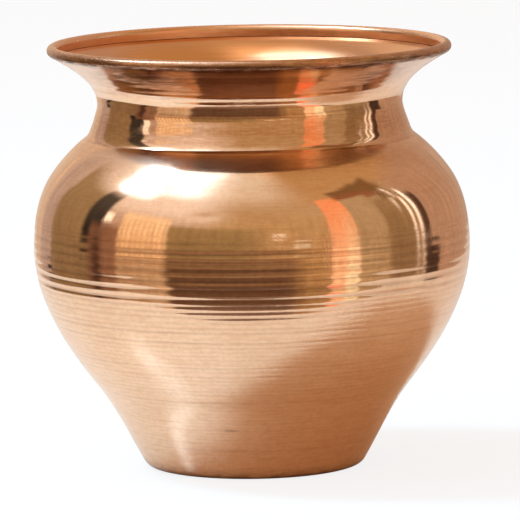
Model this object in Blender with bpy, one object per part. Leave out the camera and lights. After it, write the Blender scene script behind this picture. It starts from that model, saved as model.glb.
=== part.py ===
"""Kalash pot: a spun copper water pot that stands on a flat foot.

Two spun shells telescope at the belly, where the bowl's top edge is set in by one sheet
thickness and slides up inside the upper shell. A fillet of brazing metal closes that lap on
the inside. The flared mouth ends in an edge that is rolled up and inwards over a wire.

Metres, +Z up. The origin is the centre of the foot, on the surface that the pot stands on.
Outlines are (radius, height) points. They run up the outside of a piece and back down its inside.
"""

import math

import bmesh
import bpy

# Sheet and fits
SHEET = 0.0006
SEAT_GAP = 0.0002
WIRE_DIAMETER = 0.0013

# Foot of the bowl
BASE_RADIUS = 0.0292
BASE_CORNER = 0.0031
FOOT_RING_WIDTH = 0.0060
FOOT_KICK = 0.0008
FOOT_LEAN = math.radians(30.0)

# Bowl wall: hollow up to the turn, then full out to the belly
TURN_RADIUS = 0.0405
TURN_RISE = 0.0214
TURN_LEAN = math.radians(38.0)
BELLY_RADIUS = 0.0565
BELLY_RISE = 0.0356

# Lap seam at the belly
LAP = 0.0050
BRAZE_LEG = 0.0008

# Shoulder, and the neck that rises from it with a crease at its foot
SHOULDER_SET_IN = 0.0049
SHOULDER_RISE = 0.0194
SHOULDER_LEAN = math.radians(-35.0)
NECK_FOOT_RADIUS = 0.0425
NECK_FOOT_RISE = 0.0095
SHOULDER_TOP_LEAN = math.radians(-50.0)
NECK_LEAN = math.radians(-22.0)
WAIST_RADIUS = 0.0395
WAIST_RISE = 0.0088

# Flared mouth and its rolled rim
MOUTH_RISE = 0.0153
RIM_RADIUS = 0.0523
FLARE_LEAN = math.radians(61.0)

# Fineness of the turned surfaces
ROUND_STEPS = 64
KICK_STEPS = 3
CORNER_STEPS = 4
BOWL_FOOT_STEPS = 5
BOWL_BELLY_STEPS = 7
LAP_STEPS = 2
SHOULDER_SIDE_STEPS = 4
SHOULDER_TOP_STEPS = 4
NECK_STEPS = 3
FLARE_STEPS = 6
CURL_STEPS = 9
WIRE_STEPS = 8
SMOOTH_ANGLE = math.radians(40.0)

# Copper as seen on the pot, and the yellower brazing metal
POLISHED_COPPER = ((0.90, 0.60, 0.38, 1.0), 0.12)
BRUSHED_COPPER = ((0.87, 0.57, 0.36, 1.0), 0.28)
WIRE_COPPER = ((0.76, 0.46, 0.29, 1.0), 0.35)
BRAZING_METAL = ((0.80, 0.62, 0.32, 1.0), 0.40)

# Heights and radii that follow from the sizes above
TURN_HEIGHT = TURN_RISE
BELLY_HEIGHT = TURN_HEIGHT + BELLY_RISE
SHOULDER_RADIUS = BELLY_RADIUS - SHOULDER_SET_IN
SHOULDER_HEIGHT = BELLY_HEIGHT + SHOULDER_RISE
NECK_FOOT_HEIGHT = SHOULDER_HEIGHT + NECK_FOOT_RISE
WAIST_HEIGHT = NECK_FOOT_HEIGHT + WAIST_RISE
RIM_HEIGHT = WAIST_HEIGHT + MOUTH_RISE
CURL_BORE = WIRE_DIAMETER / 2 + SEAT_GAP
CURL_RADIUS = CURL_BORE + SHEET
CURL_CENTRE = (RIM_RADIUS - CURL_RADIUS, RIM_HEIGHT - CURL_RADIUS)


def on_circle(centre, radius, angle):
    """The point at this angle on a circle, counted from +radius towards +height."""
    return (centre[0] + radius * math.cos(angle), centre[1] + radius * math.sin(angle))


def arc(centre, radius, start, end, steps):
    """Points along a circle from one angle to another, both ends included."""
    return [on_circle(centre, radius, start + (end - start) * i / steps) for i in range(steps + 1)]


def sweep_curve(start, start_lean, end, end_lean):
    """A smooth curve between two points, as a function of 0 to 1. Leans are from upright, outwards."""
    reach = math.dist(start, end)
    leave = (reach * math.sin(start_lean), reach * math.cos(start_lean))
    arrive = (reach * math.sin(end_lean), reach * math.cos(end_lean))

    def point(t):
        from_start = 2 * t**3 - 3 * t**2 + 1
        out_of_start = t**3 - 2 * t**2 + t
        into_end = t**3 - t**2
        return tuple(
            from_start * start[i] + out_of_start * leave[i] + (1 - from_start) * end[i] + into_end * arrive[i]
            for i in range(2)
        )

    return point


def sampled(curve, steps, start=0.0, end=1.0):
    """Points along a curve, both ends included."""
    return [curve(start + (end - start) * i / steps) for i in range(steps + 1)]


def share_at_height(curve, height):
    """How far along a rising curve it passes this height, from 0 to 1."""
    low, high = 0.0, 1.0
    for _ in range(40):
        middle = (low + high) / 2
        if curve(middle)[1] < height:
            low = middle
        else:
            high = middle
    return low


def inside_of(line, depth):
    """The line set in by this depth, to the left of its run, with square corners kept square."""
    sides = [
        (-(after[1] - here[1]) / math.dist(here, after), (after[0] - here[0]) / math.dist(here, after))
        for here, after in zip(line, line[1:])
    ]
    moved = []
    for point, before, after in zip(line, sides[:1] + sides, sides + sides[-1:]):
        across = (before[0] + after[0], before[1] + after[1])
        scale = 2 * depth / (across[0] ** 2 + across[1] ** 2)
        moved.append((point[0] + across[0] * scale, point[1] + across[1] * scale))
    return moved


def shoulder_side_curve():
    """The upper shell's outside from the seam to the shoulder."""
    seam_edge = (BELLY_RADIUS, BELLY_HEIGHT + SEAT_GAP)
    return sweep_curve(seam_edge, 0.0, (SHOULDER_RADIUS, SHOULDER_HEIGHT), SHOULDER_LEAN)


def lap_line():
    """The part of that outside that covers the bowl's spigot."""
    side = shoulder_side_curve()
    return sampled(side, LAP_STEPS, 0.0, share_at_height(side, BELLY_HEIGHT + LAP))


def spun_piece(name, outline, finish):
    """A named solid made by turning an outline once round the upright axis."""
    mesh = bpy.data.meshes.new(name)
    form = bmesh.new()
    corners = [form.verts.new((radius, 0.0, height)) for radius, height in outline]
    ends_on_axis = outline[0][0] == 0.0 and outline[-1][0] == 0.0
    pairs = zip(corners, corners[1:] if ends_on_axis else corners[1:] + corners[:1])
    edges = [form.edges.new(pair) for pair in pairs]
    bmesh.ops.spin(
        form,
        geom=corners + edges,
        cent=(0.0, 0.0, 0.0),
        axis=(0.0, 0.0, 1.0),
        angle=math.tau,
        steps=ROUND_STEPS,
        use_merge=True,
    )
    bmesh.ops.remove_doubles(form, verts=form.verts, dist=SEAT_GAP / 100)
    bmesh.ops.recalc_face_normals(form, faces=form.faces)
    form.to_mesh(mesh)
    form.free()
    mesh.shade_smooth()
    mesh.set_sharp_from_angle(angle=SMOOTH_ANGLE)
    mesh.materials.append(metal(name + "_metal", *finish))
    piece = bpy.data.objects.new(name, mesh)
    bpy.context.scene.collection.objects.link(piece)
    return piece


def metal(name, colour, roughness):
    """A bare metal finish."""
    material = bpy.data.materials.new(name)
    material.use_nodes = True
    shader = material.node_tree.nodes["Principled BSDF"]
    shader.inputs["Base Color"].default_value = colour
    shader.inputs["Metallic"].default_value = 1.0
    shader.inputs["Roughness"].default_value = roughness
    material.diffuse_color = colour
    return material


def lower_bowl():
    """The bowl: kicked-up foot, hollow-to-full wall, and the set-in spigot that enters the upper shell."""
    corner_centre = (BASE_RADIUS - BASE_CORNER, BASE_CORNER)
    ring_inner = corner_centre[0] - FOOT_RING_WIDTH
    kick = [
        (ring_inner * i / KICK_STEPS, FOOT_KICK * math.cos(math.pi / 2 * i / KICK_STEPS))
        for i in range(KICK_STEPS)
    ]
    corner = arc(corner_centre, BASE_CORNER, -math.pi / 2, -FOOT_LEAN, CORNER_STEPS)
    turn = (TURN_RADIUS, TURN_HEIGHT)
    belly = (BELLY_RADIUS, BELLY_HEIGHT)
    foot_curve = sweep_curve(corner[-1], FOOT_LEAN, turn, TURN_LEAN)
    belly_curve = sweep_curve(turn, TURN_LEAN, belly, 0.0)
    spigot = inside_of(lap_line(), SHEET + SEAT_GAP)
    ledge = (spigot[0][0], BELLY_HEIGHT)
    outside = (
        kick
        + [(ring_inner, 0.0)]
        + corner
        + sampled(foot_curve, BOWL_FOOT_STEPS)[1:]
        + sampled(belly_curve, BOWL_BELLY_STEPS)[1:]
        + [ledge]
        + spigot[1:]
    )
    inside = inside_of(outside, SHEET)
    inside[0] = (0.0, FOOT_KICK + SHEET)
    return spun_piece("lower_bowl", outside + inside[::-1], BRUSHED_COPPER)


def upper_shell():
    """Shoulder, creased neck and flared mouth in one sheet, whose edge is rolled over the rim wire."""
    shoulder = (SHOULDER_RADIUS, SHOULDER_HEIGHT)
    neck_foot = (NECK_FOOT_RADIUS, NECK_FOOT_HEIGHT)
    waist = (WAIST_RADIUS, WAIST_HEIGHT)
    side = shoulder_side_curve()
    lap_end = share_at_height(side, BELLY_HEIGHT + LAP)
    curl_start = -FLARE_LEAN
    lip = on_circle(CURL_CENTRE, CURL_RADIUS, curl_start)
    tuck = math.acos((CURL_BORE - SEAT_GAP) / CURL_RADIUS)
    curl_end = curl_start + math.tau - tuck
    outside = (
        lap_line()
        + sampled(side, SHOULDER_SIDE_STEPS, lap_end)[1:]
        + sampled(sweep_curve(shoulder, SHOULDER_LEAN, neck_foot, SHOULDER_TOP_LEAN), SHOULDER_TOP_STEPS)[1:]
        + sampled(sweep_curve(neck_foot, NECK_LEAN, waist, 0.0), NECK_STEPS)[1:]
        + sampled(sweep_curve(waist, 0.0, lip, FLARE_LEAN), FLARE_STEPS)[1:]
        + arc(CURL_CENTRE, CURL_RADIUS, curl_start, curl_end, CURL_STEPS)[1:]
    )
    return spun_piece("upper_shell", outside + inside_of(outside, SHEET)[::-1], POLISHED_COPPER)


def rim_wire():
    """The wire that the mouth's edge is rolled over."""
    ring = arc(CURL_CENTRE, WIRE_DIAMETER / 2, 0.0, math.tau, WIRE_STEPS)[:-1]
    return spun_piece("rim_wire", ring, WIRE_COPPER)


def seam_braze():
    """The fillet of brazing metal in the corner between the spigot's top edge and the upper shell."""
    side = shoulder_side_curve()
    bottom = BELLY_HEIGHT + LAP + SEAT_GAP
    low = share_at_height(side, bottom)
    high = share_at_height(side, bottom + BRAZE_LEG)
    against_shell = inside_of(sampled(side, LAP_STEPS, low, high), SHEET + SEAT_GAP)
    over_spigot = inside_of(sampled(side, LAP_STEPS, low, high), 2 * SHEET + SEAT_GAP)
    toe, heel, tip = over_spigot[0], against_shell[0], against_shell[-1]
    hollow = tuple((toe[i] + tip[i] + heel[i]) / 3 for i in range(2))
    return spun_piece("seam_braze", [toe, heel, tip, hollow], BRAZING_METAL)


def main():
    for leftover in list(bpy.data.objects):
        bpy.data.objects.remove(leftover)
    pot = bpy.data.objects.new("kalash_pot", None)
    bpy.context.scene.collection.objects.link(pot)
    for piece in (lower_bowl(), upper_shell(), rim_wire(), seam_braze()):
        piece.parent = pot


main()
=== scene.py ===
"""Looks of the kalash pot: finely turned copper skins, their finishes, and the stage round them.

Metres and degrees, +Z up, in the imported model's frame. Outlines are (radius, height) points that
run up the outside of a piece and back down its inside.
"""

import math
import random

import bmesh
import bpy
import numpy as np
from mathutils import Matrix, Vector


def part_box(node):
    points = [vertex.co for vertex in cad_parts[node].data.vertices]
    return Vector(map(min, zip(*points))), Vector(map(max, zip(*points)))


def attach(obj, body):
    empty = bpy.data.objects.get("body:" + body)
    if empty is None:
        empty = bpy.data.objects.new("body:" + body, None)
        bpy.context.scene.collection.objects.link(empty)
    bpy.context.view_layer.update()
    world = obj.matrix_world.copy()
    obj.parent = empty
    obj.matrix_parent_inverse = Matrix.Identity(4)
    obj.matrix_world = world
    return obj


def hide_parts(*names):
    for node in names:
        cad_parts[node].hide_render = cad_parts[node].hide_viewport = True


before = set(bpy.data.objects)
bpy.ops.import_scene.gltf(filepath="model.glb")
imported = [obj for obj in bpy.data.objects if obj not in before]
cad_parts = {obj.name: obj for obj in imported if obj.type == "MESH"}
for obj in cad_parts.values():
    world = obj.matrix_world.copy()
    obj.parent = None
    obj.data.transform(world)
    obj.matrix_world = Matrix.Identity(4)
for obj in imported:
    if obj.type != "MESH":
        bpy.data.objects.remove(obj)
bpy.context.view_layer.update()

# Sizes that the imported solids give
BELLY_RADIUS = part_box("lower_bowl")[1].x
WIRE_LOW, WIRE_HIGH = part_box("rim_wire")
WIRE_RADIUS = (WIRE_HIGH.z - WIRE_LOW.z) / 2
CURL_CENTRE = (WIRE_HIGH.x - WIRE_RADIUS, (WIRE_LOW.z + WIRE_HIGH.z) / 2)
CURL_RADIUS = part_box("upper_shell")[1].z - CURL_CENTRE[1]
BRAZE_LOW, BRAZE_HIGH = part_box("seam_braze")

# Sheet and seam
SHEET = 0.0006
SEAT_GAP = 0.0002
SEAM_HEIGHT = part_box("upper_shell")[0].z - SEAT_GAP
SEAM_LINE = 0.00001
SPIGOT_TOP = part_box("lower_bowl")[1].z

# Stations of the outside, as (radius, height), with the wall's lean from upright at each
BASE_RADIUS = 0.0292
BASE_CORNER = 0.0031
FOOT_RING_WIDTH = 0.0060
FOOT_KICK = 0.0008
FOOT_LEAN = math.radians(30.0)
TURN = (0.0405, 0.0214)
TURN_LEAN = math.radians(38.0)
BELLY = (BELLY_RADIUS, SEAM_HEIGHT)
SHOULDER = (BELLY_RADIUS - 0.0049, SEAM_HEIGHT + 0.0194)
SHOULDER_LEAN = math.radians(-35.0)
NECK_FOOT = (0.0425, SHOULDER[1] + 0.0095)
SHOULDER_TOP_LEAN = math.radians(-53.0)
NECK_LEAN = math.radians(-42.0)
NECK = (0.0413, NECK_FOOT[1] + 0.0022)
NECK_SIDE_LEAN = math.radians(-16.0)
WAIST = (0.0395, NECK_FOOT[1] + 0.0088)
FLARE_LEAN = math.radians(61.0)
FLARE_BRUSHED = WAIST[1] + 0.0040
FOLD_DROP = 0.0016
FOLD_SLANT = 0.0003

# Bands of rings that the spinning tool left, from the rim down to the foot: top, bottom, then the
# pitch, slope and shade at each end, and how uneven they are. They are bold round the belly, fine
# below it, and a few soft waves on the neck.
RINGED_TOP = 0.0660
RING_BANDS = (
    (0.1070, 0.1012, (0.0020, 0.0020), (0.040, 0.040), (0.3, 0.3), 0.8),
    (0.0998, 0.0960, (0.0027, 0.0027), (0.070, 0.070), (0.0, 0.0), 0.0),
    (0.0940, 0.0890, (0.0043, 0.0043), (0.045, 0.045), (0.0, 0.0), 0.0),
    (RINGED_TOP, 0.0620, (0.0021, 0.0021), (0.020, 0.040), (0.1, 0.2), 0.4),
    (0.0616, 0.0500, (0.0023, 0.0023), (0.064, 0.072), (0.6, 0.7), 0.4),
    (0.0500, 0.0440, (0.0016, 0.0015), (0.066, 0.056), (0.5, 0.3), 0.6),
    (0.0440, 0.0080, (0.0013, 0.0009), (0.070, 0.035), (0.38, 0.22), 1.0),
)
RING_SEED = 7
PITCH_SCATTER = (-0.15, 0.15)
BOLDNESS_SCATTER = (-0.65, 0.15)

# How a ring's depth changes on its way round: bolder on one side, with (turns, share) waves
BOLDEST_SIDE = math.radians(230.0)
BOLDER_BY = 0.60
RING_WAVES = ((3, 0.15), (8, 0.12), (14, 0.10), (23, 0.08))

# Fillet of brazing metal: points across its face, how hollow it is, and the torch's lumps
BRAZE_POINTS = 9
BRAZE_HOLLOW = 1.3
BRAZE_SINK = 0.00004
BRAZE_LUMP = 0.00002 / 3
BRAZE_LUMP_TURNS = (5, 11, 17, 29, 43)

# Fineness of the skins
AROUND = 192
ANGLES = np.arange(AROUND) * math.tau / AROUND
RING_STEP = 0.0002
PLAIN_STEP = 0.0012
CORNER_STEPS = 10
CURL_STEPS = 40
RIM_STEPS = 24
FOLD_STEPS = 6
WIRE_STEPS = 16
SHARP_TURN = math.radians(14.0)
MEETING = 1e-7


# Outlines


def on_circle(centre, radius, angle):
    """The point at this angle on a circle, counted from +radius towards +height."""
    return (centre[0] + radius * math.cos(angle), centre[1] + radius * math.sin(angle))


def arc(centre, radius, start, end, steps):
    """Points along a circle from one angle to another, both ends included."""
    return [on_circle(centre, radius, start + (end - start) * i / steps) for i in range(steps + 1)]


def sweep(start, start_lean, end, end_lean, step):
    """Points about one step apart along a smooth curve between two points, both ends included."""
    reach = math.dist(start, end)
    leave = np.array([math.sin(start_lean), math.cos(start_lean)]) * reach
    arrive = np.array([math.sin(end_lean), math.cos(end_lean)]) * reach
    t = np.linspace(0.0, 1.0, max(4, round(reach / step)) + 1)[:, None]
    from_start = 2 * t**3 - 3 * t**2 + 1
    points = from_start * np.array(start) + (1 - from_start) * np.array(end)
    points += (t**3 - 2 * t**2 + t) * leave + (t**3 - t**2) * arrive
    return [tuple(point) for point in points]


def below(line, height):
    """The part of a rising line that is no higher than this, ended at that height."""
    kept = [point for point in line if point[1] < height]
    radii, heights = zip(*line)
    return kept + [(float(np.interp(height, heights, radii)), height)]


def inside_of(line, depth):
    """The line set in by this depth, to the left of its run, with square corners kept square."""
    line = np.array(line)
    along = np.diff(line, axis=0)
    along /= np.linalg.norm(along, axis=1)[:, None]
    sides = np.stack([-along[:, 1], along[:, 0]], axis=1)
    across = np.vstack([sides[:1], sides]) + np.vstack([sides, sides[-1:]])
    moved = line + across * (2 * depth / (across**2).sum(axis=1))[:, None]
    return [tuple(point) for point in moved]


def shoulder_side(step):
    """The upper shell's outside from the seam to the shoulder."""
    return sweep((BELLY_RADIUS, SEAM_HEIGHT + SEAM_LINE), 0.0, SHOULDER, SHOULDER_LEAN, step)


def bowl_outside(step):
    """The bowl's outside from the middle of the foot to the seam."""
    corner_centre = (BASE_RADIUS - BASE_CORNER, BASE_CORNER)
    ring_inner = corner_centre[0] - FOOT_RING_WIDTH
    kick_steps = round(ring_inner / PLAIN_STEP)
    kick = [
        (ring_inner * i / kick_steps, FOOT_KICK * math.cos(math.pi / 2 * i / kick_steps))
        for i in range(kick_steps)
    ]
    corner = arc(corner_centre, BASE_CORNER, -math.pi / 2, -FOOT_LEAN, CORNER_STEPS)
    lower_wall = sweep(corner[-1], FOOT_LEAN, TURN, TURN_LEAN, step)
    belly_wall = sweep(TURN, TURN_LEAN, BELLY, 0.0, step)
    return kick + [(ring_inner, 0.0)] + corner + lower_wall[1:] + belly_wall[1:]


def spigot_outside():
    """The bowl's set-in edge, which stands inside the upper shell."""
    covered = sweep((BELLY_RADIUS, SEAM_HEIGHT), 0.0, SHOULDER, SHOULDER_LEAN, PLAIN_STEP)
    return below(inside_of(covered, SHEET + SEAT_GAP), SPIGOT_TOP)


def flare_side(step):
    """The upper shell's outside from the waist to the rolled edge."""
    lip = on_circle(CURL_CENTRE, CURL_RADIUS, -FLARE_LEAN)
    return sweep(WAIST, 0.0, lip, FLARE_LEAN, min(1.5 * step, PLAIN_STEP / 2))[1:]


def shell_outside(step):
    """The upper shell's outside from the seam, over the rim wire and down to its end in the mouth."""
    fold_radius = CURL_CENTRE[0] - CURL_RADIUS
    fold = [(fold_radius, CURL_CENTRE[1] - FOLD_DROP * i / FOLD_STEPS) for i in range(1, FOLD_STEPS + 1)]
    return (
        shoulder_side(step)
        + sweep(SHOULDER, SHOULDER_LEAN, NECK_FOOT, SHOULDER_TOP_LEAN, PLAIN_STEP / 2)[1:]
        + sweep(NECK_FOOT, NECK_LEAN, NECK, NECK_SIDE_LEAN, PLAIN_STEP / 4)[1:]
        + sweep(NECK, NECK_SIDE_LEAN, WAIST, 0.0, PLAIN_STEP / 4)[1:]
        + flare_side(step)
        + arc(CURL_CENTRE, CURL_RADIUS, -FLARE_LEAN, math.pi, CURL_STEPS)[1:]
        + fold
    )


# Relief and skins


def tool_rings():
    """(height, pitch, slope, shade, phase) of each ring from the top down."""
    draw = random.Random(RING_SEED)
    rings = []
    for top, bottom, *ends, uneven in RING_BANDS:
        height = top
        while height > bottom:
            down = (top - height) / (top - bottom)
            pitch, slope, shade = (start + (end - start) * down for start, end in ends)
            pitch *= 1 + draw.uniform(*PITCH_SCATTER) * uneven
            bold = 1 + draw.uniform(*BOLDNESS_SCATTER) * uneven
            rings.append((height, pitch, slope * bold, shade * bold, draw.uniform(0.0, math.tau)))
            height -= pitch
    return rings


def ring_marks(outline):
    """Depth of the rings, and how they darken the colour from 0 to 1 as residue and painted reflection,
    along and round a piece.
    """
    heights = np.array(outline)[:, 1]
    depth = np.zeros((len(heights), AROUND))
    groove = np.zeros((len(heights), AROUND))
    for height, pitch, slope, shade, phase in tool_rings():
        near = np.clip((heights - height) / (pitch / 2), -1.0, 1.0)
        bell = (1 + np.cos(math.pi * near[:, None])) / 2
        waver = 1 + BOLDER_BY * np.cos(ANGLES - BOLDEST_SIDE)
        for turns, share in RING_WAVES:
            waver += share * np.sin(turns * (ANGLES + phase))
        depth += bell * waver * slope * pitch / math.pi
        groove = np.maximum(groove, bell**2 * waver * shade)
    return depth, groove


def marked(outline, places):
    """How strongly each point is marked by these places, along and round a piece."""
    marks = np.zeros((len(outline), AROUND))
    for middle, reach, strength, side, spread in places:
        away = np.linalg.norm(np.array(outline) - middle, axis=1) / reach
        round_it = np.abs((np.degrees(ANGLES) - side + 180.0) % 360.0 - 180.0) / spread
        marks = np.maximum(marks, strength * np.exp(-(away[:, None] ** 2) - round_it**2))
    return marks


# Places that are hazy, knocked in, or darkened by tarnish and painted shade: (radius, height), reach,
# strength, the side that it is on and its spread round the pot in degrees. A knock's strength is its depth.
UNDER_RIM = on_circle(CURL_CENTRE, CURL_RADIUS, -FLARE_LEAN * 0.8)
ALL_ROUND = 1e6
TARNISH_AND_PAINTED_SHADE_PLACES = (
    # Darker at the foot corner and low on the foot: painted contact shade at the corner, and tarnish
    ((BASE_RADIUS - BASE_CORNER, 0.0), 0.0032, 1.00, 0, ALL_ROUND),
    ((0.0315, 0.0060), 0.0060, 0.08, 0, ALL_ROUND),
    ((0.0356, 0.0139), 0.0004, 0.95, 260, 2.6),
    (NECK_FOOT, 0.0004, 0.50, 0, ALL_ROUND),
    # A patch on the front right just below the crease: tarnish, with the crease's dark reflection painted
    # on
    ((0.0455, 0.0832), 0.0035, 0.55, 295, 35),
    # The neck made darker all round, under the flare
    ((0.0412, 0.0910), 0.0045, 0.50, 0, ALL_ROUND),
    ((0.0465, 0.1050), 0.0055, 0.15, 0, ALL_ROUND),
    # Patches round the flare at its front left, front right and back right: tarnish, with the flare's dark
    # reflections painted on at the front
    ((0.0465, 0.1045), 0.0060, 0.90, 236, 24),
    ((0.0465, 0.1045), 0.0060, 0.75, 316, 16),
    ((0.0465, 0.1045), 0.0060, 0.60, 70, 50),
    # Under the rolled edge: painted shade, with tarnish
    (UNDER_RIM, 0.0016, 1.00, 0, ALL_ROUND),
)
HAZY_PLACES = (
    ((0.0448, 0.0840), 0.0030, 0.8, 0, ALL_ROUND),
    ((0.0490, 0.1062), 0.0030, 0.3, 0, ALL_ROUND),
)
KNOCKS = (((0.0543, 0.0711), 0.0009, 0.00014, 258, 2.6),)


def spun_skin(name, outline, finishes, depth=None, groove=None):
    """A piece turned round the upright axis.

    finishes lists (number of outline points, material) along the outline. depth and groove give, for
    its first points, how far they are pressed in and how they shade, in rows round the axis. For its
    finishes, the skin carries run (metres along the outline), groove, the tarnish with painted shade, and
    haze.
    """
    outline = np.array(outline)
    closed = outline[0][0] > 0.0
    radii = np.repeat(outline[:, :1], AROUND, axis=1)
    heights = np.repeat(outline[:, 1:], AROUND, axis=1)
    if depth is not None:
        along = np.gradient(outline[: len(depth)], axis=0)
        along /= np.linalg.norm(along, axis=1)[:, None]
        radii[: len(depth)] -= along[:, 1:] * depth
        heights[: len(depth)] += along[:, :1] * depth
    points = np.stack([radii * np.cos(ANGLES), radii * np.sin(ANGLES), heights], axis=2)

    rows = np.arange(len(outline)) * AROUND
    pairs = list(zip(rows, np.roll(rows, -1)))[: None if closed else -1]
    here = np.arange(AROUND)
    beside = np.roll(here, -1)
    quads = [np.stack([low + here, low + beside, high + beside, high + here], 1) for low, high in pairs]
    mesh = bpy.data.meshes.new(name)
    mesh.from_pydata(points.reshape(-1, 3).tolist(), [], np.concatenate(quads).tolist())
    row_finish = []
    for number, (count, material) in enumerate(finishes):
        mesh.materials.append(material)
        row_finish += [number] * count
    mesh.polygons.foreach_set("material_index", np.repeat(row_finish[: len(pairs)], AROUND))

    run = np.concatenate([[0.0], np.cumsum(np.linalg.norm(np.diff(outline, axis=0), axis=1))])
    layers = {"run": np.repeat(run[:, None], AROUND, axis=1)}
    if groove is not None:
        layers["groove"] = groove
        layers["tarnish_and_painted_shade"] = marked(outline[: len(groove)], TARNISH_AND_PAINTED_SHADE_PLACES)
        layers["haze"] = marked(outline[: len(groove)], HAZY_PLACES)
    for label, values in layers.items():
        whole = np.zeros(radii.shape)
        whole[: len(values)] = values
        mesh.attributes.new(label, "FLOAT", "POINT").data.foreach_set("value", whole.ravel())
    mesh.shade_smooth()
    mesh.set_sharp_from_angle(angle=SHARP_TURN)
    if not closed:
        close_poles(mesh)
    piece = bpy.data.objects.new(name, mesh)
    bpy.context.scene.collection.objects.link(piece)
    return piece


def close_poles(mesh):
    """Joins the points that meet on the axis, so that the skin is closed there."""
    form = bmesh.new()
    form.from_mesh(mesh)
    bmesh.ops.remove_doubles(form, verts=form.verts, dist=MEETING)
    form.to_mesh(mesh)
    form.free()


def stands_for(piece, node):
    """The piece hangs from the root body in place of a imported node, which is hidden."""
    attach(piece, "root")
    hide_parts(node)


# Shader helpers


def feed(tree, made, values):
    """Sets or links inputs, keyed by socket name or number."""
    for key, value in values.items():
        if isinstance(value, bpy.types.NodeSocket):
            tree.links.new(value, made.inputs[key])
        else:
            made.inputs[key].default_value = value
    return made


def add(tree, kind, values=None, **settings):
    """A new shader node with its settings and inputs."""
    made = tree.nodes.new("ShaderNode" + kind)
    for name, value in settings.items():
        setattr(made, name, value)
    return feed(tree, made, values or {})


def maths(tree, operation, *values):
    """The result of one Math node."""
    return add(tree, "Math", dict(enumerate(values)), operation=operation).outputs[0]


def ramp(tree, value, low, high, to_low=0.0, to_high=1.0):
    """A value smoothly remapped between two limits."""
    values = {"Value": value, "From Min": low, "From Max": high, "To Min": to_low, "To Max": to_high}
    return add(tree, "MapRange", values, interpolation_type="SMOOTHSTEP").outputs["Result"]


def blend(tree, factor, first, second):
    """Two colours mixed by a factor."""
    made = add(tree, "Mix", data_type="RGBA")
    feed(tree, made, {0: factor, 6: first, 7: second})
    return made.outputs[2]


def shader_group(name, inputs, outputs):
    """A new node group. inputs and outputs map a name to Float, Color or Vector."""
    tree = bpy.data.node_groups.new(name, "ShaderNodeTree")
    for words, kinds in (("INPUT", inputs), ("OUTPUT", outputs)):
        for label, kind in kinds.items():
            tree.interface.new_socket(label, in_out=words, socket_type="NodeSocket" + kind)
    source = tree.nodes.new("NodeGroupInput")
    sink = tree.nodes.new("NodeGroupOutput")
    return tree, source.outputs, sink


def place(tree, group, values):
    """A group placed in a material with its own values."""
    made = tree.nodes.new("ShaderNodeGroup")
    made.node_tree = group
    return feed(tree, made, values).outputs


# Finishes


def carried(tree, label):
    """A value that the skin carries."""
    return add(tree, "Attribute", attribute_name=label).outputs["Fac"]


def noise(tree, vector, scale, detail):
    """Smooth unevenness from 0 to 1, this many times finer than a metre."""
    return add(tree, "TexNoise", {"Vector": vector, "Scale": scale, "Detail": detail}).outputs[0]


def turning_lines_group():
    """Fine broken lines of turning and buffing, round the axis and spaced along the outline's run."""
    tree, given, sink = shader_group(
        "turning_lines", {"Pitch": "Float", "Waver": "Float"}, {"Height": "Float", "Mark": "Float"}
    )
    faint_below, full_above = 0.016, 0.034
    place_in_pot = add(tree, "TexCoord").outputs["Object"]
    turns = maths(tree, "DIVIDE", carried(tree, "run"), given["Pitch"])
    wander = noise(tree, place_in_pot, scale=30.0, detail=1.0)
    turns = maths(tree, "MULTIPLY_ADD", wander, given["Waver"], turns)
    values = {"W": turns, "Scale": 1.0, "Detail": 3.0, "Roughness": 0.6}
    lines = add(tree, "TexNoise", values, noise_dimensions="1D").outputs[0]
    along = add(tree, "Mapping", {"Vector": place_in_pot, "Scale": (1.0, 1.0, 9.0)}).outputs[0]
    broken = ramp(tree, noise(tree, along, scale=90.0, detail=2.0), 0.36, 0.64, 0.1, 1.0)
    height = add(tree, "SeparateXYZ", {0: place_in_pot}).outputs[2]
    broken = maths(tree, "MULTIPLY", broken, ramp(tree, height, faint_below, full_above, 0.3, 1.0))
    mark = maths(tree, "MULTIPLY", ramp(tree, lines, 0.52, 0.34), broken)
    feed(tree, sink, {"Height": lines, "Mark": mark})
    return tree


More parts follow.
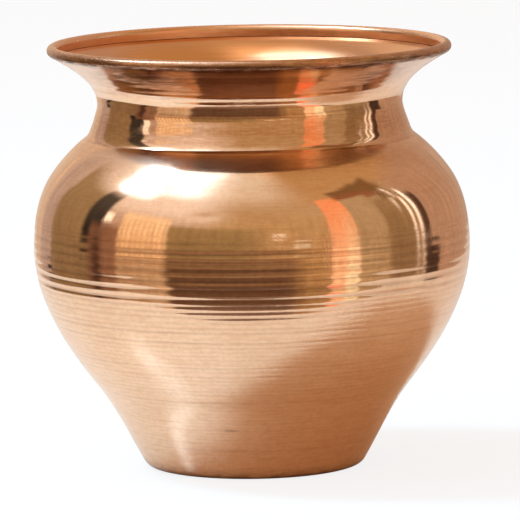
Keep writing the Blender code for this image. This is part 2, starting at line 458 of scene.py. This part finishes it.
def copper_tone_group():
    """Bare copper's uneven colour: blotches, smears along the turning and specks, then lines and places
    darkened by tarnish, residue, painted shade and painted reflection.
    """
    tree, given, sink = shader_group(
        "copper_tone",
        {"Bright": "Color", "Dull": "Color", "Tarnish And Shade": "Color", "Specks": "Float", "Lines": "Float"},
        {"Colour": "Color", "Dullness": "Float"},
    )
    blotch_share, smear_share = 0.45, 0.35
    brushed_share, mottle_share = 0.7, 0.6
    place_in_pot = add(tree, "TexCoord").outputs["Object"]
    along = add(tree, "Mapping", {"Vector": place_in_pot, "Scale": (1.0, 1.0, 7.0)}).outputs[0]
    blotch = ramp(tree, noise(tree, place_in_pot, scale=38.0, detail=3.0), 0.38, 0.78)
    smear = ramp(tree, noise(tree, along, scale=75.0, detail=4.0), 0.42, 0.78)
    brushed = ramp(tree, noise(tree, along, scale=260.0, detail=2.0), 0.40, 0.70)
    speck = ramp(tree, noise(tree, place_in_pot, scale=1300.0, detail=1.0), 0.58, 0.76)
    mottle = ramp(tree, noise(tree, place_in_pot, scale=800.0, detail=2.0), 0.35, 0.70)
    fine = maths(tree, "MULTIPLY_ADD", brushed, brushed_share, speck)
    fine = maths(tree, "MULTIPLY_ADD", mottle, mottle_share, fine)
    uneven = maths(tree, "MULTIPLY", smear, smear_share)
    uneven = maths(tree, "MULTIPLY_ADD", blotch, blotch_share, uneven)
    uneven = maths(tree, "MULTIPLY_ADD", fine, given["Specks"], uneven)
    dull = maths(tree, "MINIMUM", uneven, 1.0)
    patchy = ramp(tree, noise(tree, along, scale=300.0, detail=3.0), 0.30, 0.62, 0.45, 1.0)
    # Tarnish with painted shade, and the darkened lines, mixed towards the colour of tarnish and shade
    stain_and_painted_shade = maths(tree, "MULTIPLY_ADD", carried(tree, "tarnish_and_painted_shade"), patchy, given["Lines"])
    stain_and_painted_shade = maths(tree, "MINIMUM", stain_and_painted_shade, 1.0)
    colour = blend(tree, dull, given["Bright"], given["Dull"])
    colour = blend(tree, stain_and_painted_shade, colour, given["Tarnish And Shade"])
    feed(tree, sink, {"Colour": colour, "Dullness": maths(tree, "MAXIMUM", dull, stain_and_painted_shade)})
    return tree


def handling_marks_group():
    """Faint wandering scratches of use, in a few worn places."""
    tree, given, sink = shader_group(
        "handling_marks", {"Amount": "Float"}, {"Scratch": "Float", "Height": "Float"}
    )
    scratch_width = 0.012
    turns_and_stretches = ((0.5, 14.0), (-0.9, 18.0), (1.3, 11.0))
    place_in_pot = add(tree, "TexCoord").outputs["Object"]
    lines = None
    for turn, stretch in turns_and_stretches:
        values = {"Vector": place_in_pot, "Rotation": (turn, turn / 2, turn), "Scale": (1.0, stretch, 1.0)}
        grain = noise(tree, add(tree, "Mapping", values).outputs[0], scale=110.0, detail=1.0)
        away = maths(tree, "ABSOLUTE", maths(tree, "SUBTRACT", grain, 0.5))
        line = ramp(tree, away, scratch_width, 0.0)
        lines = line if lines is None else maths(tree, "MAXIMUM", lines, line)
    worn = ramp(tree, noise(tree, place_in_pot, scale=90.0, detail=2.0), 0.52, 0.70)
    scratch = maths(tree, "MULTIPLY", maths(tree, "MULTIPLY", lines, worn), given["Amount"])
    feed(tree, sink, {"Scratch": scratch, "Height": maths(tree, "MULTIPLY", scratch, -1.0)})
    return tree


def sheet_waves_group():
    """The slow waves and fine grain of spun sheet, which bend what it mirrors."""
    tree, given, sink = shader_group("sheet_waves", {"Grain": "Float"}, {"Height": "Float"})
    place_in_pot = add(tree, "TexCoord").outputs["Object"]
    grain = noise(tree, place_in_pot, scale=1900.0, detail=1.0)
    waves = noise(tree, place_in_pot, scale=75.0, detail=1.0)
    height = maths(tree, "MULTIPLY_ADD", grain, given["Grain"], waves)
    feed(tree, sink, {"Height": height})
    return tree


TURNING_LINES = turning_lines_group()
COPPER_TONE = copper_tone_group()
HANDLING_MARKS = handling_marks_group()
SHEET_WAVES = sheet_waves_group()


# What all finishes share: how lines wander, the grain, wear's parts, scratch depth and the haze's dullness
LINE_WANDER = 0.6
SHEET_GRAIN = 0.012
LINE_WEAR = 0.3
DULL_WEAR = 0.7
SCRATCH_DEPTH = 0.000006
HAZE_ROUGHNESS = 0.22


def raised(tree, height, distance, normal=None):
    """A bump this many metres high, laid over an earlier one."""
    values = {"Height": height, "Distance": distance, "Strength": 1.0}
    if normal is not None:
        values["Normal"] = normal
    return add(tree, "Bump", values).outputs[0]


def copper(
    name, bright, dull, rough, lines, waves,
    tarnish_and_shade_colour=(0.22, 0.095, 0.055), line_shade=0.06, groove_shade=0.0, specks=0.5, scratches=0.4,
):
    """Bare turned metal.

    bright and dull are its colours, and the third colour that of its tarnish and painted shade; rough the
    range of its roughness, lines the pitch and depth of its turning lines, and waves the height of the
    sheet's waves. The rest are amounts, and groove_shade darkens the rings, partly as painted reflection.
    """
    line_pitch, line_depth = lines
    smooth, rubbed = rough
    material = bpy.data.materials.new(name)
    material.use_nodes = True
    tree = material.node_tree
    shader = tree.nodes["Principled BSDF"]
    shader.inputs["Metallic"].default_value = 1.0
    turned = place(tree, TURNING_LINES, {"Pitch": line_pitch, "Waver": LINE_WANDER})
    # The turning lines and the rings darken the colour: residue, and along the rings painted reflection
    stain_and_painted_reflection = maths(tree, "MULTIPLY", turned["Mark"], line_shade)
    stain_and_painted_reflection = maths(tree, "MULTIPLY_ADD", carried(tree, "groove"), groove_shade, stain_and_painted_reflection)
    tones = {"Bright": (*bright, 1.0), "Dull": (*dull, 1.0), "Tarnish And Shade": (*tarnish_and_shade_colour, 1.0)}
    tone = place(tree, COPPER_TONE, tones | {"Specks": specks, "Lines": stain_and_painted_reflection})
    marks = place(tree, HANDLING_MARKS, {"Amount": scratches})
    sheet = place(tree, SHEET_WAVES, {"Grain": SHEET_GRAIN})
    worn = maths(tree, "MULTIPLY", tone["Dullness"], DULL_WEAR)
    worn = maths(tree, "MULTIPLY_ADD", turned["Mark"], LINE_WEAR, worn)
    worn = maths(tree, "MAXIMUM", worn, marks["Scratch"])
    normal = raised(tree, sheet["Height"], waves)
    normal = raised(tree, turned["Height"], line_depth, normal)
    normal = raised(tree, marks["Height"], SCRATCH_DEPTH, normal)
    roughness = maths(tree, "MULTIPLY_ADD", worn, rubbed - smooth, smooth)
    roughness = maths(tree, "MULTIPLY_ADD", carried(tree, "haze"), HAZE_ROUGHNESS, roughness)
    feed(tree, shader, {"Base Color": tone["Colour"], "Roughness": roughness, "Normal": normal})
    return material


polished_copper = copper(
    "polished_copper",
    bright=(0.93, 0.65, 0.45),
    dull=(0.84, 0.54, 0.35),
    rough=(0.035, 0.09),
    lines=(0.0005, 0.0000025),
    waves=0.00006,
    tarnish_and_shade_colour=(0.50, 0.22, 0.085),
    groove_shade=0.3,
)
flare_copper = copper(
    "flare_copper",
    bright=(0.93, 0.64, 0.44),
    dull=(0.80, 0.48, 0.31),
    rough=(0.06, 0.13),
    lines=(0.0006, 0.000007),
    waves=0.00008,
    tarnish_and_shade_colour=(0.24, 0.13, 0.095),
    line_shade=0.22,
    groove_shade=0.3,
)
ringed_copper = copper(
    "ringed_copper",
    bright=(0.94, 0.66, 0.46),
    dull=(0.84, 0.54, 0.35),
    rough=(0.05, 0.12),
    lines=(0.0005, 0.000005),
    waves=0.00006,
    line_shade=0.11,
    groove_shade=0.32,
    specks=0.7,
    scratches=0.6,
)
# The rolled edge's outer and under side, darker than the rest of the bead: painted shade, with tarnish
rim_copper_with_painted_shade = copper(
    "rim_copper_with_painted_shade",
    bright=(0.80, 0.50, 0.32),
    dull=(0.60, 0.33, 0.20),
    rough=(0.18, 0.32),
    lines=(0.0004, 0.000004),
    waves=0.00008,
    tarnish_and_shade_colour=(0.11, 0.045, 0.028),
    specks=0.8,
    scratches=0.8,
)
bead_copper = copper(
    "bead_copper",
    bright=(0.99, 0.62, 0.39),
    dull=(0.94, 0.54, 0.32),
    rough=(0.24, 0.32),
    lines=(0.0004, 0.000004),
    waves=0.00003,
    specks=0.2,
    scratches=0.3,
)
inner_copper = copper(
    "inner_copper",
    bright=(0.88, 0.51, 0.29),
    dull=(0.80, 0.44, 0.235),
    rough=(0.13, 0.21),
    lines=(0.0007, 0.000007),
    waves=0.00003,
    line_shade=0.14,
    specks=0.05,
    scratches=0.3,
)
wire_copper = copper(
    "wire_copper",
    bright=(0.76, 0.46, 0.29),
    dull=(0.55, 0.30, 0.18),
    rough=(0.26, 0.40),
    lines=(0.0002, 0.000004),
    waves=0.00002,
    scratches=0.2,
)
brazing_metal = copper(
    "brazing_metal",
    bright=(0.80, 0.62, 0.32),
    dull=(0.58, 0.40, 0.20),
    rough=(0.28, 0.46),
    lines=(0.0012, 0.000003),
    waves=0.0002,
    specks=0.9,
    scratches=0.1,
)


# Pieces


def dress_lower_bowl():
    """The ringed bowl, plain inside."""
    outside = bowl_outside(RING_STEP)
    edge = spigot_outside()
    inside = inside_of(bowl_outside(PLAIN_STEP) + edge, SHEET)
    inside[0] = (0.0, FOOT_KICK + SHEET)
    finishes = [(len(outside), ringed_copper), (len(edge) + len(inside), inner_copper)]
    skin = spun_skin("lower_bowl_skin", outside + edge + inside[::-1], finishes, *ring_marks(outside))
    stands_for(skin, "lower_bowl")


def dress_upper_shell():
    """Ringed low on the shoulder and mirror bright above, with a brushed flare and a rolled edge that is
    duller, with painted shade on its outer and under side.
    """
    outside = shell_outside(RING_STEP)
    inside = inside_of(shell_outside(PLAIN_STEP), SHEET)
    inside[-1] = (inside[-1][0], inside[-1][1] + FOLD_SLANT)
    ringed = sum(1 for point in shoulder_side(RING_STEP) if point[1] < RINGED_TOP)
    flare = sum(1 for point in flare_side(RING_STEP) if point[1] > FLARE_BRUSHED)
    plain = len(outside) - ringed - flare - CURL_STEPS - FOLD_STEPS
    finishes = [
        (ringed, ringed_copper),
        (plain, polished_copper),
        (flare, flare_copper),
        (RIM_STEPS, rim_copper_with_painted_shade),
        (CURL_STEPS - RIM_STEPS + FOLD_STEPS, bead_copper),
        (len(inside), inner_copper),
    ]
    depth, groove = ring_marks(outside)
    depth += marked(outside, KNOCKS)
    skin = spun_skin("upper_shell_skin", outside + inside[::-1], finishes, depth, groove)
    stands_for(skin, "upper_shell")


def dress_rim_wire():
    """The drawn wire inside the rolled edge."""
    ring = arc(CURL_CENTRE, WIRE_RADIUS, 0.0, math.tau, WIRE_STEPS)[:-1]
    skin = spun_skin("rim_wire_skin", ring, [(len(ring), wire_copper)])
    stands_for(skin, "rim_wire")


def dress_seam_braze():
    """The fillet above the bowl's edge, hollow faced and a little lumpy from the torch."""
    low, high = BRAZE_LOW.z, BRAZE_HIGH.z
    side = sweep((BELLY_RADIUS, SEAM_HEIGHT), 0.0, SHOULDER, SHOULDER_LEAN, RING_STEP)
    against_shell = below(inside_of(side, SHEET + SEAT_GAP), high)
    over_spigot = below(inside_of(side, 2 * SHEET + SEAT_GAP), low)
    toe, tip = np.array(over_spigot[-1]), np.array(against_shell[-1])
    heel = np.array(below(against_shell, low)[-1])
    share = np.linspace(0.0, 1.0, BRAZE_POINTS)[:, None]
    face = tip + (toe - tip) * share + (heel - (toe + tip) / 2) * share * (1 - share) * BRAZE_HOLLOW
    outline = [tuple(point) for point in face] + [tuple(heel)]
    draw = random.Random(RING_SEED)
    lumps = sum(np.sin(ANGLES * turns + draw.uniform(0.0, math.tau)) for turns in BRAZE_LUMP_TURNS)
    depth = np.sin(math.pi * share) * (BRAZE_SINK + BRAZE_LUMP * lumps)
    skin = spun_skin("seam_braze_skin", outline, [(len(outline), brazing_metal)], depth)
    stands_for(skin, "seam_braze")


dress_lower_bowl()
dress_upper_shell()
dress_rim_wire()
dress_seam_braze()


# Stage: a pale floor, the table top that the copper mirrors, and the room's cards round it

FLOOR_REACH = 3.0
FLOOR_WHITE_TO_CAMERA = 0.85
TABLE_LEFT, TABLE_RIGHT = -0.20, 0.25
TABLE_FRONT, TABLE_BACK = -0.105, 0.60
TABLE_LIFT = 0.00005
ROOM_RADIUS = 3.0
ROOM = (0.54, 0.37, 0.27)

# A lamp on the left: its side counted from the camera's towards the right, and its rise from level
LAMP_SIDE = math.radians(-98.0)
LAMP_RISE = math.radians(55.0)
LAMP_AIM = Vector((0.0, 0.0, 0.05))
LAMP_SIZE = 0.22
LAMP_POWER = 9.6
LAMP_COLOUR = (0.35, 0.67, 1.0)

# The photograph's view
FRAME_PIXELS = 520.0
SHIFT_RIGHT_PIXELS = 8.0
SHIFT_UP_PIXELS = -7.0
SENSOR_MM = 36.0
LENS_MM = 411.0
CAMERA_RISE = math.radians(7.3)
CAMERA_ROLL = math.radians(-0.85)
CAMERA_AIM = Vector((0.0, 0.0, 0.055))
CAMERA_DISTANCE = 1.54

# The slats of a blind in the left amber card
SLATS = 9
SLAT_PITCH = 3.2
SLAT_WIDTH = 1.4
FIRST_SLAT = -74.0

# Each card's left, right, bottom and top edge, the softness of its sides and of its ends, and its
# colour at the bottom and at the top. Left and right are counted from the camera's side of the pot
# towards its right, bottom and top from level.
CARDS = (
    ("ceiling", -200, 200, 60, 110, 1, 24, (0.62, 0.42, 0.25), (0.92, 0.60, 0.35)),
    ("skylight", -200, 200, 76, 110, 1, 14, (1.30, 0.88, 0.55), (1.45, 1.00, 0.64)),
    ("left skylight", -150, -30, 68, 88, 30, 12, (1.6, 1.3, 1.0), (2.2, 1.8, 1.4)),
    ("left rear wall", -200, -126, -40, 50, 10, 30, (0.55, 0.44, 0.39), (0.58, 0.46, 0.40)),
    ("left rear corner", -200, -148, -40, 50, 8, 30, (0.74, 0.56, 0.42), (0.80, 0.62, 0.46)),
    ("right rear wall", 106, 150, -40, 64, 6, 20, (0.53, 0.35, 0.25), (0.52, 0.33, 0.23)),
    ("front ceiling", -32, 62, 10, 64, 28, 14, (0.60, 0.40, 0.20), (0.60, 0.43, 0.27)),
    ("right ceiling", 30, 150, 44, 84, 40, 16, (0.60, 0.37, 0.18), (0.56, 0.34, 0.16)),
    ("front glow", -66, 24, 50, 84, 50, 24, (0.84, 0.70, 0.56), (0.92, 0.86, 0.76)),
    ("window glow", -124, -24, 26, 96, 42, 22, (1.06, 0.94, 0.86), (1.30, 1.38, 1.46)),
    ("window", -105, -72, 43, 84, 14, 8, (2.1, 2.5, 3.0), (2.1, 2.5, 3.0)),
    ("window beside", -78, -40, 53, 84, 26, 12, (1.9, 2.2, 2.6), (2.1, 2.5, 3.0)),
    ("window top", -132, -70, 60, 88, 16, 10, (2.1, 2.5, 3.0), (2.1, 2.5, 3.0)),
    ("window pane", -103, -91, 46, 66, 5, 8, (11.0, 16.0, 22.0), (11.0, 16.0, 22.0)),
    ("left wall", -132, -95, -30, 38, 4, 12, (0.27, 0.18, 0.095), (0.41, 0.30, 0.17)),
    ("left post", -102, -88, 2, 40, 4, 10, (0.03, 0.025, 0.02), (0.10, 0.09, 0.08)),
    ("left post foot", -96, -75.5, -30, 14, 4, 8, (0.23, 0.13, 0.08), (0.21, 0.11, 0.075)),
    ("left post foot side", -86, -75.5, -30, 13, 4, 8, (0.34, 0.19, 0.12), (0.33, 0.18, 0.11)),
    ("left post foot line", -92.5, -87.5, -30, 6, 3, 8, (0.085, 0.042, 0.024), (0.12, 0.065, 0.045)),
    ("left wedge", -139, -132, -40, -9, 2, 5, (0.05, 0.03, 0.02), (0.06, 0.035, 0.025)),
    ("left glint", -88, -82.5, 17, 24, 2, 4, (1.6, 1.5, 1.4), (1.6, 1.5, 1.4)),
    ("left amber", -75.5, -45, 2, 28, 3, 7, (1.20, 0.84, 0.49), (1.20, 0.92, 0.62)),
    *(
        ("slat", left, left + SLAT_WIDTH, 2, 24, 1, 6, (0.86, 0.50, 0.26), (0.98, 0.72, 0.44))
        for left in (FIRST_SLAT + SLAT_PITCH * i for i in range(SLATS))
    ),
    ("left low amber", -75.5, -43, -40, 3, 5, 6, (0.98, 0.74, 0.52), (0.56, 0.37, 0.22)),
    ("front high", -46, 36, -6, 22, 4, 5, (0.30, 0.20, 0.10), (0.40, 0.28, 0.13)),
    ("front warm", 4, 46, -20, 24, 24, 20, (0.50, 0.30, 0.14), (0.62, 0.41, 0.21)),
    ("front low", -46, 30, -46, -20, 5, 8, (0.32, 0.23, 0.19), (0.15, 0.08, 0.047)),
    ("front middle", -46, 30, -22, 3, 5, 6, (0.15, 0.08, 0.047), (0.30, 0.18, 0.10)),
    ("front side", 25, 44, -46, 4, 16, 10, (0.42, 0.25, 0.11), (0.52, 0.32, 0.15)),
    ("orange strip", 42.5, 58, -33, 47, 2, 4, (1.10, 0.74, 0.48), (1.08, 0.43, 0.20)),
    ("orange strip edge", 51, 58.5, -33, 30, 4, 20, (1.10, 1.10, 0.80), (1.04, 0.56, 0.32)),
    ("orange strip foot", 42.5, 58.5, -48, -26, 2, 6, (1.5, 0.56, 0.35), (1.5, 0.56, 0.35)),
    ("right card", 58.5, 101, -24, 45, 2, 6, (0.50, 0.36, 0.21), (0.55, 0.41, 0.25)),
    ("right card shade", 77, 101, -18, 36, 6, 10, (0.30, 0.20, 0.11), (0.38, 0.25, 0.13)),
    ("right cap", 56, 84, 43, 54, 6, 3, (0.34, 0.14, 0.07), (0.24, 0.14, 0.06)),
    ("right cap end", 78, 96, 38.5, 52.5, 6, 3, (0.36, 0.15, 0.08), (0.24, 0.14, 0.06)),
    ("right cap tip", 87, 98, 32, 47, 5, 4, (0.28, 0.17, 0.09), (0.24, 0.14, 0.06)),
    ("right line", 94, 96.5, 31, 42, 1.5, 5, (0.9, 0.75, 0.6), (1.3, 1.2, 1.1)),
    ("right line foot", 90, 92.5, 20, 32, 1.5, 6, (0.6, 0.5, 0.4), (1.1, 1.0, 0.9)),
    ("right line beside", 96.5, 98.5, -16, 30, 1.5, 8, (0.55, 0.42, 0.33), (1.7, 1.6, 1.5)),
    ("right line edge", 101, 103, -16, 36, 1.5, 8, (0.65, 0.52, 0.42), (1.9, 1.9, 1.9)),
    ("right wedge", 104, 109, -20, 30, 2, 8, (0.07, 0.042, 0.028), (0.11, 0.065, 0.045)),
    ("right wedge foot", 104, 116, -20, -1, 3, 6, (0.07, 0.042, 0.030), (0.09, 0.052, 0.038)),
    ("small lamp", 11, 18, 13, 16, 2, 2, (1.0, 0.85, 0.7), (1.0, 0.85, 0.7)),
    ("small lamp beside", 22, 31, 9, 12, 2, 2, (0.9, 0.8, 0.65), (0.9, 0.8, 0.65)),
)


def card_group():
    """One card of the room laid over what is behind it, placed by direction in degrees."""
    tree, given, sink = shader_group(
        "room_card",
        {
            "Behind": "Color", "Across": "Float", "Up": "Float", "Left": "Float", "Right": "Float",
            "Bottom": "Float", "Top": "Float", "Soft Sides": "Float", "Soft Ends": "Float",
            "Low Colour": "Color", "High Colour": "Color",
        },
        {"Colour": "Color"},
    )
    mask = None
    for way, edge, sign, soft in (
        ("Across", "Left", 1.0, "Soft Sides"),
        ("Across", "Right", -1.0, "Soft Sides"),
        ("Up", "Bottom", 1.0, "Soft Ends"),
        ("Up", "Top", -1.0, "Soft Ends"),
    ):
        half = maths(tree, "MULTIPLY", given[soft], 0.5)
        inward = maths(tree, "MULTIPLY", maths(tree, "SUBTRACT", given[way], given[edge]), sign)
        step = ramp(tree, inward, maths(tree, "MULTIPLY", half, -1.0), half)
        mask = step if mask is None else maths(tree, "MULTIPLY", mask, step)
    rise = ramp(tree, given["Up"], given["Bottom"], given["Top"])
    colour = blend(tree, rise, given["Low Colour"], given["High Colour"])
    feed(tree, sink, {"Colour": blend(tree, mask, given["Behind"], colour)})
    return tree


def room_material():
    """What the copper mirrors: plain cards at fixed directions round the pot."""
    material = bpy.data.materials.new("room_cards")
    material.use_nodes = True
    tree = material.node_tree
    tree.nodes.clear()
    spot = add(tree, "NewGeometry").outputs["Position"]
    outward = add(tree, "VectorMath", {0: spot}, operation="NORMALIZE").outputs[0]
    axes = add(tree, "SeparateXYZ", {0: outward}).outputs
    forward = maths(tree, "MULTIPLY", axes[1], -1.0)
    across = maths(tree, "DEGREES", maths(tree, "ARCTAN2", axes[0], forward))
    up = maths(tree, "DEGREES", maths(tree, "ARCSINE", axes[2]))
    card = card_group()
    colour = (*ROOM, 1.0)
    for _, left, right, bottom, top, sides, ends, low, high in CARDS:
        values = {"Behind": colour, "Across": across, "Up": up}
        values |= {"Left": left, "Right": right, "Bottom": bottom, "Top": top}
        values |= {"Soft Sides": sides, "Soft Ends": ends}
        values |= {"Low Colour": (*low, 1.0), "High Colour": (*high, 1.0)}
        colour = place(tree, card, values)["Colour"]
    uneven = maths(tree, "ADD", room_unevenness(tree, across, up), 1.0)
    colour = add(tree, "VectorMath", {0: colour, 1: uneven}, operation="MULTIPLY").outputs[0]
    glow = add(tree, "Emission", {"Color": colour})
    feed(tree, add(tree, "OutputMaterial"), {"Surface": glow.outputs[0]})
    return material


def room_unevenness(tree, across, up):
    """Faint upright streaks, and level boards low in front, as a share of the card's light."""
    streak, board = 0.12, 0.25
    streak_place = add(tree, "CombineXYZ", {0: across, 1: maths(tree, "MULTIPLY", up, 0.12)}).outputs[0]
    streaks = ramp(tree, noise(tree, streak_place, scale=0.35, detail=3.0), 0.25, 0.75, -streak, streak)
    board_place = add(tree, "CombineXYZ", {0: maths(tree, "MULTIPLY", across, 0.03), 1: up}).outputs[0]
    boards = ramp(tree, noise(tree, board_place, scale=0.10, detail=2.0), 0.32, 0.68, -board, board)
    boards = maths(tree, "MULTIPLY", boards, ramp(tree, maths(tree, "ABSOLUTE", across), 95.0, 65.0))
    uneven = maths(tree, "MULTIPLY", streaks, ramp(tree, up, 40.0, 20.0))
    return maths(tree, "MULTIPLY_ADD", boards, ramp(tree, up, 14.0, 2.0), uneven)


def staged(name, form, material):
    """A stage piece made from a bmesh."""
    mesh = bpy.data.meshes.new(name)
    form.to_mesh(mesh)
    form.free()
    mesh.materials.append(material)
    piece = bpy.data.objects.new(name, mesh)
    bpy.context.scene.collection.objects.link(piece)
    return piece


def flat(left, right, front, back, height):
    """A level rectangle, facing up."""
    form = bmesh.new()
    corners = ((left, front), (right, front), (right, back), (left, back))
    form.faces.new([form.verts.new((x, y, height)) for x, y in corners])
    return form


def seen_only_in_copper(piece):
    """Keeps a stage piece out of everything but mirror reflections."""
    piece.visible_camera = False
    piece.visible_diffuse = False
    piece.visible_shadow = False
    piece.visible_transmission = False
    piece.visible_volume_scatter = False


def floor_material():
    """Nearly white to the camera, with some of the light that falls on it, so that the shadow shows."""
    material = bpy.data.materials.new("pale_floor")
    material.use_nodes = True
    tree = material.node_tree
    tree.nodes.clear()
    lit = add(tree, "BsdfDiffuse", {"Color": (0.9, 0.9, 0.9, 1.0)})
    white = add(tree, "Emission", {"Color": (1.0, 1.0, 1.0, 1.0), "Strength": 1.0})
    seen = add(tree, "LightPath").outputs["Is Camera Ray"]
    to_camera = maths(tree, "MULTIPLY", seen, FLOOR_WHITE_TO_CAMERA)
    mixed = add(tree, "MixShader", {0: to_camera, 1: lit.outputs[0], 2: white.outputs[0]})
    feed(tree, add(tree, "OutputMaterial"), {"Surface": mixed.outputs[0]})
    return material


def table_material():
    """Pale and a little glossy, tinted warm as painted copper-coloured bounce light in the pot's shade."""
    material = bpy.data.materials.new("pale_table")
    material.use_nodes = True
    shader = material.node_tree.nodes["Principled BSDF"]
    feed(material.node_tree, shader, {"Base Color": (0.87, 0.74, 0.61, 1.0), "Roughness": 0.18})
    return material


def set_stage():
    """The camera sees the floor alone, and the copper mirrors the table top and the room."""
    floor = flat(-FLOOR_REACH, FLOOR_REACH, -FLOOR_REACH, FLOOR_REACH, 0.0)
    floor = staged("floor", floor, floor_material())
    floor.visible_glossy = False
    table = flat(TABLE_LEFT, TABLE_RIGHT, TABLE_FRONT, TABLE_BACK, TABLE_LIFT)
    table = staged("table_top", table, table_material())
    seen_only_in_copper(table)
    form = bmesh.new()
    bmesh.ops.create_uvsphere(form, u_segments=48, v_segments=24, radius=ROOM_RADIUS)
    bmesh.ops.reverse_faces(form, faces=form.faces)
    room = staged("room", form, room_material())
    seen_only_in_copper(room)
    room.visible_diffuse = True


def set_world():
    """White wherever the floor ends."""
    world = bpy.data.worlds.new("studio")
    bpy.context.scene.world = world
    world.use_nodes = True
    light = world.node_tree.nodes["Background"]
    feed(world.node_tree, light, {"Color": (1.0, 1.0, 1.0, 1.0), "Strength": 1.0})


def set_lamp():
    """One soft lamp from the left."""
    lamp = bpy.data.lights.new("key_lamp", "AREA")
    lamp.shape = "SQUARE"
    lamp.size = LAMP_SIZE
    lamp.energy = LAMP_POWER
    lamp.color = LAMP_COLOUR
    key = bpy.data.objects.new("key_lamp", lamp)
    bpy.context.scene.collection.objects.link(key)
    level = math.cos(LAMP_RISE)
    toward = Vector((math.sin(LAMP_SIDE) * level, -math.cos(LAMP_SIDE) * level, math.sin(LAMP_RISE)))
    key.location = LAMP_AIM + toward
    key.rotation_euler = toward.to_track_quat("Z", "Y").to_euler()
    key.visible_glossy = False


def set_camera():
    """The photograph's view: a long lens, a little above the rim, held a trifle out of level."""
    camera = bpy.data.cameras.new("camera")
    camera.sensor_width = SENSOR_MM
    camera.lens = LENS_MM
    camera.shift_x = SHIFT_RIGHT_PIXELS / FRAME_PIXELS
    camera.shift_y = SHIFT_UP_PIXELS / FRAME_PIXELS
    view = bpy.data.objects.new("camera", camera)
    bpy.context.scene.collection.objects.link(view)
    away = Vector((0.0, -math.cos(CAMERA_RISE), math.sin(CAMERA_RISE)))
    level = away.to_track_quat("Z", "Y").to_matrix().to_4x4()
    stand = Matrix.Translation(CAMERA_AIM + away * CAMERA_DISTANCE)
    view.matrix_world = stand @ level @ Matrix.Rotation(CAMERA_ROLL, 4, "Z")
    bpy.context.scene.camera = view


set_stage()
set_world()
set_lamp()
set_camera()
bpy.context.scene.view_settings.view_transform = "Standard"
